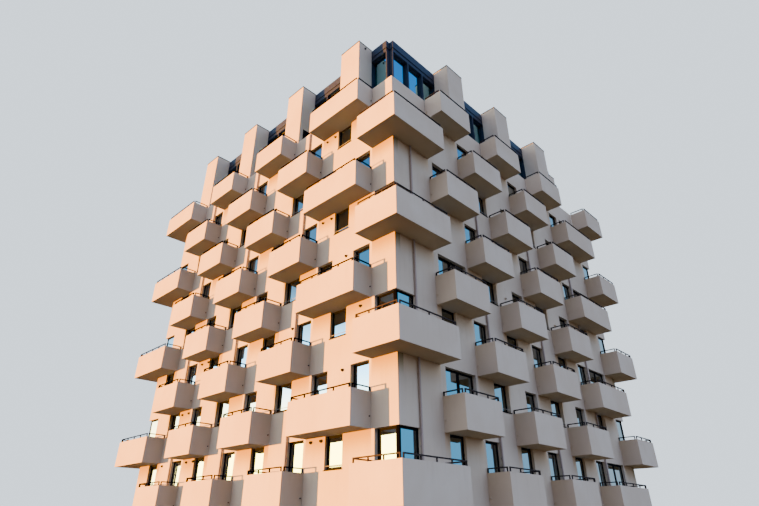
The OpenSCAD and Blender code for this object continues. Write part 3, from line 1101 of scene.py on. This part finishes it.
# Level directions: over the front right corner, which the camera faces, and square to the key
# light's, away from the camera
OVER_CORNER = Vector((math.sqrt(0.5), -math.sqrt(0.5), 0.0))
ACROSS = Vector((-math.cos(SUN_AZIMUTH), math.sin(SUN_AZIMUTH), 0.0))

# The sky that lights rough surfaces: low, high up, round the key light and, with the direction
# where it is strongest, beyond the right side
SKY_LOW = (0.74, 0.81, 1.10, 1.0)
SKY_HIGH = (1.80, 2.30, 4.70, 1.0)
SKY_GLOW = (3.10, 3.20, 3.30, 1.0)
SKY_BEYOND = (1.42, 1.85, 2.95, 1.0)
BEYOND_RIGHT = (0.70, 0.68, 0.20)

# How far this sky goes to black over the front right corner
CORNER_DIM = 0.62
BLACK = (0.0, 0.0, 0.0, 1.0)

# The ground's glow on the key light's side and away from it, and what the camera sees
GROUND_WARM = (0.24, 0.145, 0.085, 1.0)
GROUND_DIM = (0.06, 0.055, 0.04, 1.0)
BACKDROP = (1.26, 1.44, 1.62, 1.0)

# The sky that windows mirror: high up, low, beside the block, and the glow and the sunset round
# the key light
MIRROR_HIGH = (0.05, 0.38, 1.15, 1.0)
MIRROR_LOW = (0.26, 1.12, 2.05, 1.0)
MIRROR_ASIDE = (1.0, 1.25, 1.5, 1.0)
MIRROR_GLOW = (7.0, 14.0, 20.0, 1.0)
MIRROR_SUNSET = (50.0, 37.0, 7.0, 1.0)


def floor():
    """A plain pale floor, which throws no light back on the block."""
    mesh = bpy.data.meshes.new("floor")
    corners = [(x * STUDIO_REACH, y * STUDIO_REACH, 0)
               for x, y in ((-1, -1), (1, -1), (1, 1), (-1, 1))]
    mesh.from_pydata(corners, [], [(0, 1, 2, 3)])
    finish = Finish("floor")
    mesh.materials.append(finish.surface({"Base Color": linear(196, 192, 188), "Roughness": 0.9}))
    made = bpy.data.objects.new("floor", mesh)
    made.visible_diffuse = False
    bpy.context.scene.collection.objects.link(made)


def soft_sky(nodes, way, up, near_sun):
    """The sky for rough surfaces: a pale blue dome, dimmer over the front right corner, white
    round the key light and brighter beyond the right side."""
    dome = nodes.mix(up.ramp(0.0, 0.9), SKY_LOW, SKY_HIGH)
    dim = nodes.vector("DOT_PRODUCT", way, tuple(OVER_CORNER), 1).ramp(0.0, 0.95)
    dome = nodes.mix(CORNER_DIM * dim, dome, BLACK)
    dome = nodes.mix(near_sun.ramp(0.30, 1.0), dome, SKY_GLOW)
    beyond = nodes.vector("DOT_PRODUCT", way, BEYOND_RIGHT, 1).ramp(0.2, 0.95)
    return nodes.mix(beyond, dome, SKY_BEYOND)


def mirrored_sky(nodes, way, up, near_sun):
    """The brighter sky for windows: deep blue above, paler below and beside the block, and white
    round the key light, with a sunset low in it."""
    clear = nodes.mix(up.ramp(0.30, 0.80), MIRROR_LOW, MIRROR_HIGH)
    aside = nodes.vector("DOT_PRODUCT", way, tuple(ACROSS), 1).ramp(0.0, 0.42)
    clear = nodes.mix(aside * (1 - 0.6 * up.ramp(0.15, 0.6)), clear, MIRROR_ASIDE)
    halo = near_sun.ramp(0.80, 0.97) * (1 - up.ramp(0.20, 0.42))
    glowing = nodes.mix(halo, clear, MIRROR_GLOW)
    sunset = near_sun.ramp(0.80, 0.99) * (1 - up.ramp(0.10, 0.26))
    return nodes.mix(sunset, glowing, MIRROR_SUNSET)


def sky():
    """Soft light from all round: one sky for rough surfaces and another for windows, above a dim
    ground that glows warmly on the key light's side. The camera sees a plain pale backdrop."""
    world = bpy.data.worlds.new("studio")
    bpy.context.scene.world = world
    world.use_nodes = True
    nodes = Nodes(world.node_tree)
    way = nodes.node("TexCoord", output="Generated")
    up = nodes.parts(way)[2]
    near_sun = nodes.vector("DOT_PRODUCT", way, tuple(TO_SUN), 1)
    glossy = nodes.node("LightPath", output="Is Glossy Ray")
    seen = nodes.node("LightPath", output="Is Camera Ray")
    above = nodes.mix(glossy, soft_sky(nodes, way, up, near_sun),
                      mirrored_sky(nodes, way, up, near_sun))
    ground = nodes.mix(near_sun.ramp(-0.4, 0.7), GROUND_DIM, GROUND_WARM)
    light = nodes.mix(up.ramp(-0.03, 0.0), ground, above)
    colour = nodes.mix(seen, light, BACKDROP)
    background = nodes.node("Background", None, {"Color": colour, "Strength": 1.0})
    result = nodes.tree.nodes.new("ShaderNodeOutputWorld")
    nodes.tree.links.new(background.socket, result.inputs["Surface"])


def key_light(name, strength, bounces):
    """Parallel low light from the front left. One gives the light that falls straight on the
    block, and a weaker one the part of it that is thrown back between the surfaces."""
    light = bpy.data.lights.new(name, "SUN")
    light.energy = strength
    light.color = SUN_COLOUR
    light.angle = SUN_WIDTH
    light.cycles.max_bounces = bounces
    made = bpy.data.objects.new(name, light)
    made.rotation_mode = "QUATERNION"
    made.rotation_quaternion = TO_SUN.to_track_quat("Z", "Y")
    bpy.context.scene.collection.objects.link(made)


# The camera stands on the ground before the front right corner and looks up at it
CAMERA_PLACE = Vector((25.19, -26.68, 2.12))
CAMERA_AZIMUTH = math.radians(44.58)
CAMERA_TILT = math.radians(29.63)
PHOTO_WIDTH, PHOTO_HEIGHT = 759, 506
FOCAL_PIXELS = 526.5
OPTICAL_CENTRE = (375.2, 230.5)
SENSOR = 36.0


def camera():
    """The photo's camera: its place, aim, focal length and optical centre were fitted to the
    corners of the tubs."""
    data = bpy.data.cameras.new("camera")
    data.sensor_width = SENSOR
    data.lens = FOCAL_PIXELS / PHOTO_WIDTH * SENSOR
    data.shift_x = (PHOTO_WIDTH / 2 - OPTICAL_CENTRE[0]) / PHOTO_WIDTH
    data.shift_y = (OPTICAL_CENTRE[1] - PHOTO_HEIGHT / 2) / PHOTO_WIDTH
    data.clip_end = 500
    made = bpy.data.objects.new("camera", data)
    made.location = CAMERA_PLACE
    look = Vector((
        -math.sin(CAMERA_AZIMUTH) * math.cos(CAMERA_TILT),
        math.cos(CAMERA_AZIMUTH) * math.cos(CAMERA_TILT),
        math.sin(CAMERA_TILT),
    ))
    made.rotation_mode = "QUATERNION"
    made.rotation_quaternion = look.to_track_quat("-Z", "Y")
    bpy.context.scene.collection.objects.link(made)
    bpy.context.scene.camera = made


floor()
sky()
key_light("key_light", SUN_STRENGTH * (1 - BOUNCE_SHARE), 0)
key_light("key_light_thrown_back", SUN_STRENGTH * BOUNCE_SHARE, 4)
camera()
